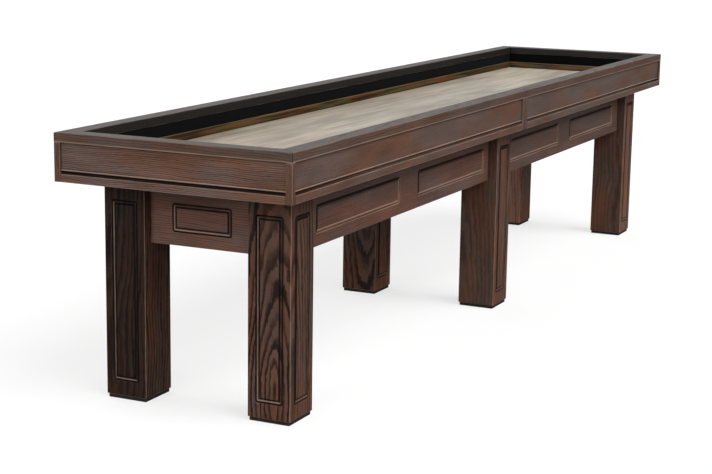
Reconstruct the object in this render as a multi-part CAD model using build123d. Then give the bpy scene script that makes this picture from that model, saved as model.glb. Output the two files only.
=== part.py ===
from build123d import *
import os

# A twelve foot shuffleboard table. +X runs along the table, -Y is its front side, +Z is up.
# The origin is on the floor, under the middle of the table. Millimetres.

# Overall size
LENGTH = 3658.0
WIDTH = 782.0
HEIGHT = 822.0

# Cabinet rails: a board with a sunk field, a bead and a groove above a plain bottom strip
RAIL_HEIGHT = 145.0
RAIL_THICKNESS = 45.0
CAP_HEIGHT = 29.0
CAP_WIDTH = 58.0
CAP_ROUND = 2.0
FIELD_DEPTH = 7.0
BOTTOM_STRIP_HEIGHT = 24.0
RAIL_GROOVE_HEIGHT = 7.0
RAIL_GROOVE_DEPTH = 10.0
BEAD_GAP = 2.0
BEAD_HEIGHT = 5.0
STILE_WIDTH = 20.0
JOINT_GAP = 7.0

# Playfield and the gutter round it
PLAYFIELD_LENGTH = 3099.0
PLAYFIELD_WIDTH = 508.0
PLAYFIELD_THICKNESS = 44.0
PLAYFIELD_DROP = 74.0
PLAYFIELD_CHAMFER = 1.5
LEDGE_THICKNESS = 15.0
LEDGE_RISE = 5.0
LINER_THICKNESS = 11.0
FLOOR_THICKNESS = 18.0
CARPET_THICKNESS = 3.0
CARPET_TUCK = 19.0

# Timbers under the playfield
BEARER_OUTSIDE = 160.0
BEARER_WIDTH = 38.0
BEARER_LENGTH = 2980.0
MEMBER_THICKNESS = 38.0
MEMBER_HEIGHT = 89.0
MEMBER_PLACES = (250.0, 750.0, 1250.0)

# Legs and aprons
LEG_WIDTH = 140.0
END_OVERHANG = 141.0
SIDE_OVERHANG = 76.5
APRON_SETBACK = 36.0
APRON_THICKNESS = 22.0
APRON_BOTTOM = 487.0

# Moulded panels: two grooves with a bead between them
PANEL_TOP = 614.0
LEG_PANEL_WIDTH = 92.0
LEG_PANEL_BOTTOM = 57.0
APRON_PANEL_HEIGHT = 88.0
END_PANEL_WIDTH = 203.0
SIDE_PANEL_WIDTH = 600.0
SIDE_PANEL_MARGIN = 83.0
SIDE_PANEL_GAP = 146.0
OUTER_GROOVE = 5.0
PANEL_BEAD = 7.0
INNER_GROOVE = 3.0
PANEL_GROOVE_DEPTH = 4.0
PANEL_CORNER_RADIUS = 6.0

# Levelling feet
FOOT_HEIGHT = 12.0
FOOT_INSET = 3.8
FOOT_GAP = 0.3
STUD_RADIUS = 6.0
STUD_FIT = 0.05
STUD_TOP = 66.0
FLANGE_RADIUS = 15.0
FLANGE_THICKNESS = 4.7
NECK_RADIUS = 10.0
SOCKET_FLOOR = 4.0
SOCKET_RADIUS = 15.5
SOCKET_MOUTH_RADIUS = 12.0
SOCKET_LIP = 1.7
COLLAR_FLATS = 22.0
COLLAR_HEIGHT = 6.0
COLLAR_POCKET_RADIUS = 15.0
INSERT_BOTTOM = 22.0
INSERT_LENGTH = 28.0
INSERT_RADIUS = 10.0
INSERT_FLANGE_RADIUS = 13.0
INSERT_FLANGE_THICKNESS = 2.0
STUD_WELL_RADIUS = 7.0
STUD_WELL_TOP = 72.0

# Leg fixings
PLATE_WIDTH = 120.0
PLATE_THICKNESS = 5.0
BOLT_OFFSET = 45.0
BOLT_RADIUS = 5.0
BOLT_CLEARANCE = 0.1
BOLT_DEPTH = 64.0
BOLT_HEAD_FLATS = 16.0
BOLT_HEAD_HEIGHT = 6.0
WASHER_RADIUS = 11.0
WASHER_THICKNESS = 1.5
COUNTERBORE_RADIUS = 12.0
COUNTERBORE_DEPTH = 8.0

# Bolts that draw the two halves of the cabinet together
JOINT_BOLT_Y = 110.0
NUT_HEIGHT = 8.0

# Climatic adjusters under the playfield
ADJUSTER_PLACES = (-1000.0, -500.0, 500.0, 1000.0)
ADJUSTER_DROP = 40.0
BRACKET_FACE = 95.0
BRACKET_WIDTH = 50.0
BRACKET_FLANGE = 45.0
BRACKET_THICKNESS = 5.0
BRACKET_DROP = 56.0
ROD_RADIUS = 5.0
ROD_END = 18.0
ROD_HEAD_FLATS = 17.0
ROD_HEAD_HEIGHT = 6.4
BARREL_LENGTH = 84.0
BARREL_FLATS = 22.0
SCREW_RADIUS = 2.5
SCREW_LENGTH = 22.0
SCREW_HEAD_RADIUS = 4.8
SCREW_HEAD_HEIGHT = 2.8
SCREW_OFFSET_X = 15.0
SCREW_OFFSET_Y = 18.0

# Levels and faces that follow from them
HALF_LENGTH = LENGTH / 2
HALF_WIDTH = WIDTH / 2
RAIL_BOTTOM = HEIGHT - RAIL_HEIGHT
CAP_BOTTOM = HEIGHT - CAP_HEIGHT
PLAYFIELD_TOP = HEIGHT - PLAYFIELD_DROP
PLAYFIELD_BOTTOM = PLAYFIELD_TOP - PLAYFIELD_THICKNESS
LEDGE_TOP = PLAYFIELD_TOP + LEDGE_RISE
FLOOR_TOP = RAIL_BOTTOM + FLOOR_THICKNESS
LEG_X = HALF_LENGTH - END_OVERHANG - LEG_WIDTH / 2
LEG_Y = HALF_WIDTH - SIDE_OVERHANG - LEG_WIDTH / 2
APRON_Y = HALF_WIDTH - SIDE_OVERHANG - APRON_SETBACK
APRON_X = HALF_LENGTH - END_OVERHANG - APRON_SETBACK
LEGS = {
    "front_left": (-LEG_X, -LEG_Y),
    "front_middle": (0.0, -LEG_Y),
    "front_right": (LEG_X, -LEG_Y),
    "rear_left": (-LEG_X, LEG_Y),
    "rear_middle": (0.0, LEG_Y),
    "rear_right": (LEG_X, LEG_Y),
}


def block(low, high):
    """A box between two opposite corners."""
    size = [b - a for a, b in zip(low, high)]
    centre = [(a + b) / 2 for a, b in zip(low, high)]
    return Pos(*centre) * Box(*size)


def disc(radius, bottom, top):
    """An upright cylinder on the Z axis."""
    return Pos(0, 0, bottom) * Cylinder(radius, top - bottom, align=(Align.CENTER, Align.CENTER, Align.MIN))


def hexagon(flats, bottom, top):
    """An upright hexagonal prism on the Z axis, by its size across flats."""
    outline = RegularPolygon(flats / 2, 6, major_radius=False)
    return Pos(0, 0, bottom) * extrude(outline, amount=top - bottom)


def plan_prism(corners, bottom, top):
    """A prism that stands on a polygon in plan."""
    outline = Polyline(*[(x, y, bottom) for x, y in corners], close=True)
    return extrude(make_face(outline), amount=top - bottom, dir=(0, 0, 1))


def rear(shape):
    """The same piece on the rear side."""
    return mirror(shape, about=Plane.XZ)


def right(shape):
    """The same piece in the right half."""
    return mirror(shape, about=Plane.YZ)


def four_ways(shape):
    """A piece of the front left quarter, and its three mirror images."""
    return [shape, rear(shape), right(shape), right(rear(shape))]


def group(solids):
    """Like pieces, kept as separate solids of one node."""
    return Compound(children=[solid.solid() for solid in solids])


# Cabinet rails

def side_plan(depth, bottom, top):
    """The front left rail's plan: mitred at the corner, square at the joint."""
    corners = [
        (-HALF_LENGTH, -HALF_WIDTH),
        (0, -HALF_WIDTH),
        (0, -HALF_WIDTH + depth),
        (-HALF_LENGTH + depth, -HALF_WIDTH + depth),
    ]
    return plan_prism(corners, bottom, top)


def end_plan(depth, bottom, top):
    """The left end rail's plan: mitred at both corners."""
    corners = [
        (-HALF_LENGTH, -HALF_WIDTH),
        (-HALF_LENGTH + depth, -HALF_WIDTH + depth),
        (-HALF_LENGTH + depth, HALF_WIDTH - depth),
        (-HALF_LENGTH, HALF_WIDTH),
    ]
    return plan_prism(corners, bottom, top)


def rail_section(place):
    """The rail's section. place turns a depth and a height into a point."""
    groove_bottom = RAIL_BOTTOM + BOTTOM_STRIP_HEIGHT
    groove_top = groove_bottom + RAIL_GROOVE_HEIGHT
    bead_bottom = groove_top + BEAD_GAP
    bead_top = bead_bottom + BEAD_HEIGHT
    bead_face = FIELD_DEPTH - BEAD_HEIGHT / 2
    bead = ThreePointArc(
        place(FIELD_DEPTH, bead_top),
        place(bead_face, (bead_bottom + bead_top) / 2),
        place(FIELD_DEPTH, bead_bottom),
    )
    rest = Polyline(
        place(FIELD_DEPTH, bead_bottom),
        place(FIELD_DEPTH, groove_top),
        place(RAIL_GROOVE_DEPTH, groove_top),
        place(RAIL_GROOVE_DEPTH, groove_bottom),
        place(0, groove_bottom),
        place(0, RAIL_BOTTOM),
        place(RAIL_THICKNESS, RAIL_BOTTOM),
        place(RAIL_THICKNESS, CAP_BOTTOM),
        place(FIELD_DEPTH, CAP_BOTTOM),
        place(FIELD_DEPTH, bead_top),
    )
    return make_face(bead + rest)


def corner_post():
    """The square post at the front left corner, under the caps."""
    low = (-HALF_LENGTH, -HALF_WIDTH, RAIL_BOTTOM)
    high = (-HALF_LENGTH + STILE_WIDTH, -HALF_WIDTH + STILE_WIDTH, CAP_BOTTOM)
    return block(low, high)


def joint_stile():
    """The upright strip that ends the front left rail at the joint."""
    low = (-JOINT_GAP / 2 - STILE_WIDTH, -HALF_WIDTH, RAIL_BOTTOM)
    high = (-JOINT_GAP / 2, -HALF_WIDTH + RAIL_GROOVE_DEPTH, CAP_BOTTOM)
    return block(low, high)


def side_rail():
    """The front left rail board."""
    section = rail_section(lambda depth, height: (-HALF_LENGTH, -HALF_WIDTH + depth, height))
    board = extrude(section, amount=HALF_LENGTH, dir=(1, 0, 0))
    board &= side_plan(RAIL_THICKNESS, RAIL_BOTTOM, CAP_BOTTOM)
    recess_low = (-JOINT_GAP / 2 - STILE_WIDTH, -HALF_WIDTH, RAIL_BOTTOM)
    recess_high = (0, -HALF_WIDTH + RAIL_GROOVE_DEPTH, CAP_BOTTOM)
    return board - corner_post() - block(recess_low, recess_high)


def end_rail():
    """The left end rail board."""
    section = rail_section(lambda depth, height: (-HALF_LENGTH + depth, -HALF_WIDTH, height))
    board = extrude(section, amount=WIDTH, dir=(0, 1, 0))
    board &= end_plan(RAIL_THICKNESS, RAIL_BOTTOM, CAP_BOTTOM)
    return board - corner_post() - rear(corner_post())


def cap(plan):
    """A cap board on a mitred plan, with its long upper edges rounded."""
    board = plan(CAP_WIDTH, CAP_BOTTOM, HEIGHT)
    longest = board.edges().group_by(Axis.Z)[-1].sort_by(SortBy.LENGTH)[-2:]
    return fillet(longest, CAP_ROUND)


# Playfield, gutter and linings

def playfield():
    """The laminated board that the weights slide on."""
    board = block(
        (-PLAYFIELD_LENGTH / 2, -PLAYFIELD_WIDTH / 2, PLAYFIELD_BOTTOM),
        (PLAYFIELD_LENGTH / 2, PLAYFIELD_WIDTH / 2, PLAYFIELD_TOP),
    )
    return chamfer(board.edges().group_by(Axis.Z)[-1], PLAYFIELD_CHAMFER)


def side_strip(thickness, bottom, top):
    """A full-length strip against the inside of the front rail."""
    inner = HALF_LENGTH - RAIL_THICKNESS
    face = -HALF_WIDTH + RAIL_THICKNESS
    return block((-inner, face, bottom), (inner, face + thickness, top))


def end_strip(thickness, bottom, top):
    """A strip against the inside of the left end rail, between the two side strips."""
    face = -HALF_LENGTH + RAIL_THICKNESS
    reach = HALF_WIDTH - RAIL_THICKNESS - thickness
    return block((face, -reach, bottom), (face + thickness, reach, top))


def gutter_floors():
    """Four side boards that stop at the cabinet's joint, and two end boards."""
    inner_x = HALF_LENGTH - RAIL_THICKNESS
    inner_y = HALF_WIDTH - RAIL_THICKNESS
    side = block((-inner_x, -inner_y, RAIL_BOTTOM), (0, -BEARER_OUTSIDE, FLOOR_TOP))
    for leg_x in (-LEG_X, 0.0):
        for dx in (-BOLT_OFFSET, BOLT_OFFSET):
            for dy in (-BOLT_OFFSET, BOLT_OFFSET):
                place = Pos(leg_x + dx, -LEG_Y + dy, 0)
                side -= place * disc(BOLT_RADIUS + BOLT_CLEARANCE, RAIL_BOTTOM, FLOOR_TOP)
                side -= place * disc(COUNTERBORE_RADIUS, FLOOR_TOP - COUNTERBORE_DEPTH, FLOOR_TOP)
    end = block(
        (-inner_x, -BEARER_OUTSIDE, RAIL_BOTTOM),
        (-BEARER_LENGTH / 2, BEARER_OUTSIDE, FLOOR_TOP),
    )
    return group(four_ways(side) + [end, right(end)])


def gutter_carpets():
    """Two long and two short carpet strips on the gutter floor."""
    outer_x = HALF_LENGTH - RAIL_THICKNESS - LEDGE_THICKNESS
    outer_y = HALF_WIDTH - RAIL_THICKNESS - LEDGE_THICKNESS
    inner_x = PLAYFIELD_LENGTH / 2 - CARPET_TUCK
    inner_y = PLAYFIELD_WIDTH / 2 - CARPET_TUCK
    top = FLOOR_TOP + CARPET_THICKNESS
    side = block((-outer_x, -outer_y, FLOOR_TOP), (outer_x, -inner_y, top))
    end = block((-outer_x, -inner_y, FLOOR_TOP), (-inner_x, inner_y, top))
    return group([side, rear(side), end, right(end)])


def gutter_ledges():
    """Wooden strips that stand on the gutter floor against the rails, just above the playfield."""
    side = side_strip(LEDGE_THICKNESS, FLOOR_TOP, LEDGE_TOP)
    end = end_strip(LEDGE_THICKNESS, FLOOR_TOP, LEDGE_TOP)
    return group([side, rear(side), end, right(end)])


def playfield_bearers():
    """Two long timbers that carry the playfield."""
    front = block(
        (-BEARER_LENGTH / 2, -BEARER_OUTSIDE, RAIL_BOTTOM),
        (BEARER_LENGTH / 2, -BEARER_OUTSIDE + BEARER_WIDTH, PLAYFIELD_BOTTOM),
    )
    return group([front, rear(front)])


def cross_members():
    """Timbers between the side aprons that carry the bearers."""
    reach = APRON_Y - APRON_THICKNESS
    members = []
    for place in MEMBER_PLACES:
        low = (-place - MEMBER_THICKNESS / 2, -reach, RAIL_BOTTOM - MEMBER_HEIGHT)
        high = (-place + MEMBER_THICKNESS / 2, reach, RAIL_BOTTOM)
        member = block(low, high)
        members += [member, right(member)]
    return group(members)


def joint_members():
    """A pair of timbers between the middle legs, one at the end of each half."""
    reach = LEG_Y - LEG_WIDTH / 2
    left = block((-MEMBER_THICKNESS, -reach, RAIL_BOTTOM - MEMBER_HEIGHT), (0, reach, RAIL_BOTTOM))
    for y in (-JOINT_BOLT_Y, JOINT_BOLT_Y):
        hole = Cylinder(BOLT_RADIUS + BOLT_CLEARANCE, 2 * MEMBER_THICKNESS, rotation=(0, 90, 0))
        left -= Pos(0, y, RAIL_BOTTOM - MEMBER_HEIGHT / 2) * hole
    return group([left, right(left)])


def joint_bolts():
    """A bolt and its nut through the two joint timbers, twice."""
    face = MEMBER_THICKNESS
    shank = disc(BOLT_RADIUS, -face - WASHER_THICKNESS, face + WASHER_THICKNESS + NUT_HEIGHT)
    head_face = -face - WASHER_THICKNESS
    head = hexagon(BOLT_HEAD_FLATS, head_face - BOLT_HEAD_HEIGHT, head_face)
    washer = disc(WASHER_RADIUS, head_face, -face)
    bolt = shank + head + washer
    nut = hexagon(BOLT_HEAD_FLATS, face + WASHER_THICKNESS, face + WASHER_THICKNESS + NUT_HEIGHT)
    nut += disc(WASHER_RADIUS, face, face + WASHER_THICKNESS)
    nut -= disc(BOLT_RADIUS, face, face + WASHER_THICKNESS + NUT_HEIGHT)
    bolt_and_nut = []
    for y in (-JOINT_BOLT_Y, JOINT_BOLT_Y):
        place = Pos(0, y, RAIL_BOTTOM - MEMBER_HEIGHT / 2) * Rot(0, 90, 0)
        bolt_and_nut += [place * bolt, place * nut]
    return group(bolt_and_nut)


# Legs and aprons

def panel_grooves(width, height):
    """The two grooves of a moulded panel, to be cut downwards from the XY plane."""
    step = OUTER_GROOVE + PANEL_BEAD
    outer = RectangleRounded(width, height, PANEL_CORNER_RADIUS)
    outer -= Rectangle(width - 2 * OUTER_GROOVE, height - 2 * OUTER_GROOVE)
    inner = Rectangle(width - 2 * step, height - 2 * step)
    inner -= Rectangle(width - 2 * (step + INNER_GROOVE), height - 2 * (step + INNER_GROOVE))
    return extrude(outer, amount=-PANEL_GROOVE_DEPTH) + extrude(inner, amount=-PANEL_GROOVE_DEPTH)


def facing(origin, normal):
    """The plane of an upright face, with its own Y pointing up."""
    return Plane(origin=origin, x_dir=(-normal[1], normal[0], 0), z_dir=normal)


def leg(x, y):
    """A square post. Corner legs are moulded on their outer faces, middle ones on both side faces."""
    post = block(
        (x - LEG_WIDTH / 2, y - LEG_WIDTH / 2, FOOT_HEIGHT),
        (x + LEG_WIDTH / 2, y + LEG_WIDTH / 2, RAIL_BOTTOM),
    )
    if x:
        normals = [(x / abs(x), 0, 0), (0, y / abs(y), 0)]
    else:
        normals = [(0, 1, 0), (0, -1, 0)]
    height = PANEL_TOP - LEG_PANEL_BOTTOM
    for nx, ny, nz in normals:
        origin = (x + nx * LEG_WIDTH / 2, y + ny * LEG_WIDTH / 2, PANEL_TOP - height / 2)
        post -= facing(origin, (nx, ny, nz)) * panel_grooves(LEG_PANEL_WIDTH, height)
    centre = Pos(x, y, 0)
    post -= Pos(x, y, RAIL_BOTTOM - PLATE_THICKNESS / 2) * Box(PLATE_WIDTH, PLATE_WIDTH, PLATE_THICKNESS)
    post -= centre * disc(COLLAR_POCKET_RADIUS, FOOT_HEIGHT, INSERT_BOTTOM)
    post -= centre * disc(INSERT_RADIUS, INSERT_BOTTOM, INSERT_BOTTOM + INSERT_LENGTH)
    post -= centre * disc(STUD_WELL_RADIUS, INSERT_BOTTOM + INSERT_LENGTH, STUD_WELL_TOP)
    bolt_hole = disc(BOLT_RADIUS + BOLT_CLEARANCE, FLOOR_TOP - COUNTERBORE_DEPTH - BOLT_DEPTH, RAIL_BOTTOM)
    for dx in (-BOLT_OFFSET, BOLT_OFFSET):
        for dy in (-BOLT_OFFSET, BOLT_OFFSET):
            post -= Pos(x + dx, y + dy, 0) * bolt_hole
    return post


def leg_plates():
    """Steel plates let into the tops of the legs."""
    plate = Pos(0, 0, RAIL_BOTTOM - PLATE_THICKNESS / 2) * Box(PLATE_WIDTH, PLATE_WIDTH, PLATE_THICKNESS)
    hole = disc(BOLT_RADIUS + BOLT_CLEARANCE, RAIL_BOTTOM - PLATE_THICKNESS, RAIL_BOTTOM)
    for dx in (-BOLT_OFFSET, BOLT_OFFSET):
        for dy in (-BOLT_OFFSET, BOLT_OFFSET):
            plate -= Pos(dx, dy, 0) * hole
    return group([Pos(x, y, 0) * plate for x, y in LEGS.values()])


def leg_bolts():
    """Bolts down through the gutter floor and the plate into each leg, heads sunk."""
    seat = FLOOR_TOP - COUNTERBORE_DEPTH
    bolt = disc(BOLT_RADIUS, seat - BOLT_DEPTH, seat + WASHER_THICKNESS)
    bolt += disc(WASHER_RADIUS, seat, seat + WASHER_THICKNESS)
    bolt += hexagon(BOLT_HEAD_FLATS, seat + WASHER_THICKNESS, seat + WASHER_THICKNESS + BOLT_HEAD_HEIGHT)
    bolts = []
    for x, y in LEGS.values():
        for dx in (-BOLT_OFFSET, BOLT_OFFSET):
            for dy in (-BOLT_OFFSET, BOLT_OFFSET):
                bolts.append(Pos(x + dx, y + dy, 0) * bolt)
    return group(bolts)


def side_apron():
    """The front left apron, with two moulded panels."""
    start = -HALF_LENGTH + END_OVERHANG + LEG_WIDTH
    board = block(
        (start, -APRON_Y, APRON_BOTTOM),
        (-LEG_WIDTH / 2, -APRON_Y + APRON_THICKNESS, RAIL_BOTTOM),
    )
    first = start + SIDE_PANEL_MARGIN + SIDE_PANEL_WIDTH / 2
    for number in range(2):
        x = first + number * (SIDE_PANEL_WIDTH + SIDE_PANEL_GAP)
        plane = facing((x, -APRON_Y, PANEL_TOP - APRON_PANEL_HEIGHT / 2), (0, -1, 0))
        board -= plane * panel_grooves(SIDE_PANEL_WIDTH, APRON_PANEL_HEIGHT)
    return board


def end_apron():
    """The left end apron, with one moulded panel."""
    reach = LEG_Y - LEG_WIDTH / 2
    board = block(
        (-APRON_X, -reach, APRON_BOTTOM),
        (-APRON_X + APRON_THICKNESS, reach, RAIL_BOTTOM),
    )
    plane = facing((-APRON_X, 0, PANEL_TOP - APRON_PANEL_HEIGHT / 2), (-1, 0, 0))
    return board - plane * panel_grooves(END_PANEL_WIDTH, APRON_PANEL_HEIGHT)


# Levelling feet, one under each leg

def foot_pad():
    """The square pad, with a snap socket for the stud's flange."""
    width = LEG_WIDTH - 2 * FOOT_INSET
    top = FOOT_HEIGHT - FOOT_GAP
    pad = block((-width / 2, -width / 2, 0), (width / 2, width / 2, top))
    pad -= disc(SOCKET_RADIUS, SOCKET_FLOOR, top - SOCKET_LIP)
    return pad - disc(SOCKET_MOUTH_RADIUS, top - SOCKET_LIP, top)


def foot_stud():
    """The threaded stud, with its flange in the pad and a collar for a spanner."""
    flange_bottom = SOCKET_FLOOR + FOOT_GAP
    collar_bottom = FOOT_HEIGHT + FOOT_GAP
    stud = disc(FLANGE_RADIUS, flange_bottom, flange_bottom + FLANGE_THICKNESS)
    stud += disc(NECK_RADIUS, flange_bottom, collar_bottom)
    stud += hexagon(COLLAR_FLATS, collar_bottom, collar_bottom + COLLAR_HEIGHT)
    return stud + disc(STUD_RADIUS, flange_bottom, STUD_TOP)


def foot_inserts():
    """Threaded inserts pressed into the feet of the legs."""
    insert = disc(INSERT_RADIUS, INSERT_BOTTOM, INSERT_BOTTOM + INSERT_LENGTH)
    insert += disc(INSERT_FLANGE_RADIUS, INSERT_BOTTOM - INSERT_FLANGE_THICKNESS, INSERT_BOTTOM)
    bore_bottom = INSERT_BOTTOM - INSERT_FLANGE_THICKNESS
    insert -= disc(STUD_RADIUS + STUD_FIT, bore_bottom, INSERT_BOTTOM + INSERT_LENGTH)
    return group([Pos(x, y, 0) * insert for x, y in LEGS.values()])


# Climatic adjusters: a turnbuckle between two brackets under the playfield

def adjuster_brackets():
    """A pair of steel angles for each adjuster."""
    axis_z = PLAYFIELD_BOTTOM - ADJUSTER_DROP
    half = BRACKET_WIDTH / 2
    upright = block(
        (-half, -BRACKET_FACE, PLAYFIELD_BOTTOM - BRACKET_DROP),
        (half, -BRACKET_FACE + BRACKET_THICKNESS, PLAYFIELD_BOTTOM),
    )
    flange = block(
        (-half, -BRACKET_FACE, PLAYFIELD_BOTTOM - BRACKET_THICKNESS),
        (half, -BRACKET_FACE + BRACKET_FLANGE, PLAYFIELD_BOTTOM),
    )
    hole = Cylinder(ROD_RADIUS + BOLT_CLEARANCE, 2 * BRACKET_THICKNESS, rotation=(90, 0, 0))
    bracket = upright + flange - Pos(0, -BRACKET_FACE, axis_z) * hole
    screw_hole = disc(SCREW_RADIUS + BOLT_CLEARANCE, PLAYFIELD_BOTTOM - BRACKET_THICKNESS, PLAYFIELD_BOTTOM)
    for x, y in screw_places():
        bracket -= Pos(x, y, 0) * screw_hole
    brackets = []
    for x in ADJUSTER_PLACES:
        brackets += [Pos(x, 0, 0) * bracket, Pos(x, 0, 0) * rear(bracket)]
    return group(brackets)


def screw_places():
    """The two screws in the front bracket's flange."""
    y = -BRACKET_FACE + BRACKET_THICKNESS + SCREW_OFFSET_Y
    return [(-SCREW_OFFSET_X, y), (SCREW_OFFSET_X, y)]


def bracket_screws():
    """Wood screws up through each bracket into the playfield."""
    face = PLAYFIELD_BOTTOM - BRACKET_THICKNESS
    screw = disc(SCREW_RADIUS, face, face + SCREW_LENGTH)
    screw += disc(SCREW_HEAD_RADIUS, face - SCREW_HEAD_HEIGHT, face)
    screws = []
    for adjuster_x in ADJUSTER_PLACES:
        for x, y in screw_places():
            for side_y in (y, -y):
                screws.append(Pos(adjuster_x + x, side_y, 0) * screw)
    return group(screws)


def adjuster_rods():
    """Threaded rods with heads outside the brackets, screwed into the turnbuckle from both ends."""
    axis_z = PLAYFIELD_BOTTOM - ADJUSTER_DROP
    rod = disc(ROD_RADIUS, ROD_END, BRACKET_FACE)
    rod += hexagon(ROD_HEAD_FLATS, BRACKET_FACE, BRACKET_FACE + ROD_HEAD_HEIGHT)
    rods = []
    for x in ADJUSTER_PLACES:
        front = Pos(x, 0, axis_z) * Rot(90, 0, 0) * rod
        rods += [front, rear(front)]
    return group(rods)


def turnbuckle():
    """The long hexagonal nut that draws the two rods together."""
    axis_z = PLAYFIELD_BOTTOM - ADJUSTER_DROP
    half = BARREL_LENGTH / 2
    barrel = hexagon(BARREL_FLATS, -half, half) - disc(ROD_RADIUS + STUD_FIT, -half, half)
    return Pos(0, 0, axis_z) * Rot(90, 0, 0) * barrel


def playfield_with_pilots():
    """The playfield with the pilot holes of its bracket screws."""
    board = playfield()
    depth = PLAYFIELD_BOTTOM + SCREW_LENGTH - BRACKET_THICKNESS
    for adjuster_x in ADJUSTER_PLACES:
        for x, y in screw_places():
            for side_y in (y, -y):
                board -= Pos(adjuster_x + x, side_y, 0) * disc(SCREW_RADIUS, PLAYFIELD_BOTTOM, depth)
    return board


pieces = {
    "playfield": playfield_with_pilots(),
    "playfield_bearers": playfield_bearers(),
    "cross_members": cross_members(),
    "joint_members": joint_members(),
    "joint_bolts": joint_bolts(),
    "gutter_floors": gutter_floors(),
    "gutter_carpets": gutter_carpets(),
    "gutter_ledges": gutter_ledges(),
    "corner_posts": group(four_ways(corner_post())),
    "joint_stiles": group(four_ways(joint_stile())),
    "leg_plates": leg_plates(),
    "leg_bolts": leg_bolts(),
    "foot_inserts": foot_inserts(),
    "adjuster_brackets": adjuster_brackets(),
    "bracket_screws": bracket_screws(),
    "adjuster_rods": adjuster_rods(),
}

side_liner = side_strip(LINER_THICKNESS, LEDGE_TOP, CAP_BOTTOM)
end_liner = end_strip(LINER_THICKNESS, LEDGE_TOP, CAP_BOTTOM)
pieces["wall_liner_front"] = side_liner
pieces["wall_liner_rear"] = rear(side_liner)
pieces["wall_liner_left"] = end_liner
pieces["wall_liner_right"] = right(end_liner)

side_pieces = {"side_rail": side_rail(), "side_cap": cap(side_plan), "side_apron": side_apron()}
for name, shape in side_pieces.items():
    pieces[name + "_front_left"] = shape
    pieces[name + "_front_right"] = right(shape)
    pieces[name + "_rear_left"] = rear(shape)
    pieces[name + "_rear_right"] = right(rear(shape))

end_pieces = {"end_rail": end_rail(), "end_cap": cap(end_plan), "end_apron": end_apron()}
for name, shape in end_pieces.items():
    pieces[name + "_left"] = shape
    pieces[name + "_right"] = right(shape)

for name, (x, y) in LEGS.items():
    pieces["leg_" + name] = leg(x, y)
    pieces["foot_pad_" + name] = Pos(x, y, 0) * foot_pad()
    pieces["foot_stud_" + name] = Pos(x, y, 0) * foot_stud()

for number, x in enumerate(ADJUSTER_PLACES, start=1):
    pieces["turnbuckle_" + str(number)] = Pos(x, 0, 0) * turnbuckle()

os.makedirs("parts", exist_ok=True)
for node, shape in pieces.items():
    export_step(shape, "parts/" + node + ".step")
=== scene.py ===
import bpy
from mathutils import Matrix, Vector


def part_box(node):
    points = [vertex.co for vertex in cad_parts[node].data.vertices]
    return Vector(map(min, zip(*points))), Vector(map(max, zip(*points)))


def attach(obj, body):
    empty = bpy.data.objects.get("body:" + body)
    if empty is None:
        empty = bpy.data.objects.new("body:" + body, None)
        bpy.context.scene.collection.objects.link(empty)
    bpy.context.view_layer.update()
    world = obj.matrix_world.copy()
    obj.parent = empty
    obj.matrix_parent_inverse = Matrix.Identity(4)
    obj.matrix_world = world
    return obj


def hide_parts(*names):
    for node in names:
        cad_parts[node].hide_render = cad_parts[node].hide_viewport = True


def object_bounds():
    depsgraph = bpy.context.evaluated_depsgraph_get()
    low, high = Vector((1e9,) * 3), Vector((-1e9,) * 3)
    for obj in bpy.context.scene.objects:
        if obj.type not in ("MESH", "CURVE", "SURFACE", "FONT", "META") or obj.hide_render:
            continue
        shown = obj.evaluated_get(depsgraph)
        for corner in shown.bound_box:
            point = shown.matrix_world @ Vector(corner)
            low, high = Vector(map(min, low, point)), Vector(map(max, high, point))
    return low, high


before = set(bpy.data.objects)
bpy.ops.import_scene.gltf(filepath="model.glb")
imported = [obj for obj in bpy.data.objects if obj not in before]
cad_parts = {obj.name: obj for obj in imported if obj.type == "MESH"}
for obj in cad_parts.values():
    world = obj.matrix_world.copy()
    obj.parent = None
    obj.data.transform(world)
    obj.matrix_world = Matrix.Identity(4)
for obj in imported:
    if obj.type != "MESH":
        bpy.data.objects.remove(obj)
cad_box = [list(corner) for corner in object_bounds()]

import math
import random

import bmesh
import bpy
from mathutils import Matrix, Vector

MM = 0.001

# Camera: a long lens at standing height, off the near left corner and looking down the table.
# It looks down by eleven degrees and leans by less than one.
CAMERA_PLACE = (-5.6967, -2.4391, 1.4736)
HEADING, DIP, TILT = math.radians(25.62), math.radians(11.37), math.radians(0.87)
lens = bpy.data.cameras.new("camera")
lens.lens = 83.02
camera = bpy.data.objects.new("camera", lens)
bpy.context.scene.collection.objects.link(camera)
camera.matrix_world = (
    Matrix.Translation(CAMERA_PLACE)
    @ Matrix.Rotation(HEADING - math.pi / 2, 4, "Z")
    @ Matrix.Rotation(math.pi / 2 - DIP, 4, "X")
    @ Matrix.Rotation(TILT, 4, "Z")
)
bpy.context.scene.camera = camera
bpy.context.scene.view_settings.view_transform = "Standard"

# Studio: a plain pale floor under a soft sky. Broad lamps light the front from high up and low down,
# the near end from low down, and two weaker lamps come from behind.
FLOOR_REACH = 90
floor_mesh = bpy.data.meshes.new("studio_floor")
floor_mesh.from_pydata(
    [(-FLOOR_REACH, -FLOOR_REACH, 0), (FLOOR_REACH, -FLOOR_REACH, 0),
     (FLOOR_REACH, FLOOR_REACH, 0), (-FLOOR_REACH, FLOOR_REACH, 0)], [], [(0, 1, 2, 3)])
floor = bpy.data.objects.new("studio_floor", floor_mesh)
floor.visible_diffuse = False
floor.visible_glossy = False
bpy.context.scene.collection.objects.link(floor)
floor_paint = bpy.data.materials.new("studio_floor_paint")
floor_paint.use_nodes = True
for socket, value in (
    ("Base Color", (0.36, 0.36, 0.36, 1)), ("Roughness", 1), ("Specular IOR Level", 0),
    ("Emission Color", (1, 1, 1, 1)), ("Emission Strength", 0.66),
):
    floor_paint.node_tree.nodes["Principled BSDF"].inputs[socket].default_value = value
floor_mesh.materials.append(floor_paint)

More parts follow.
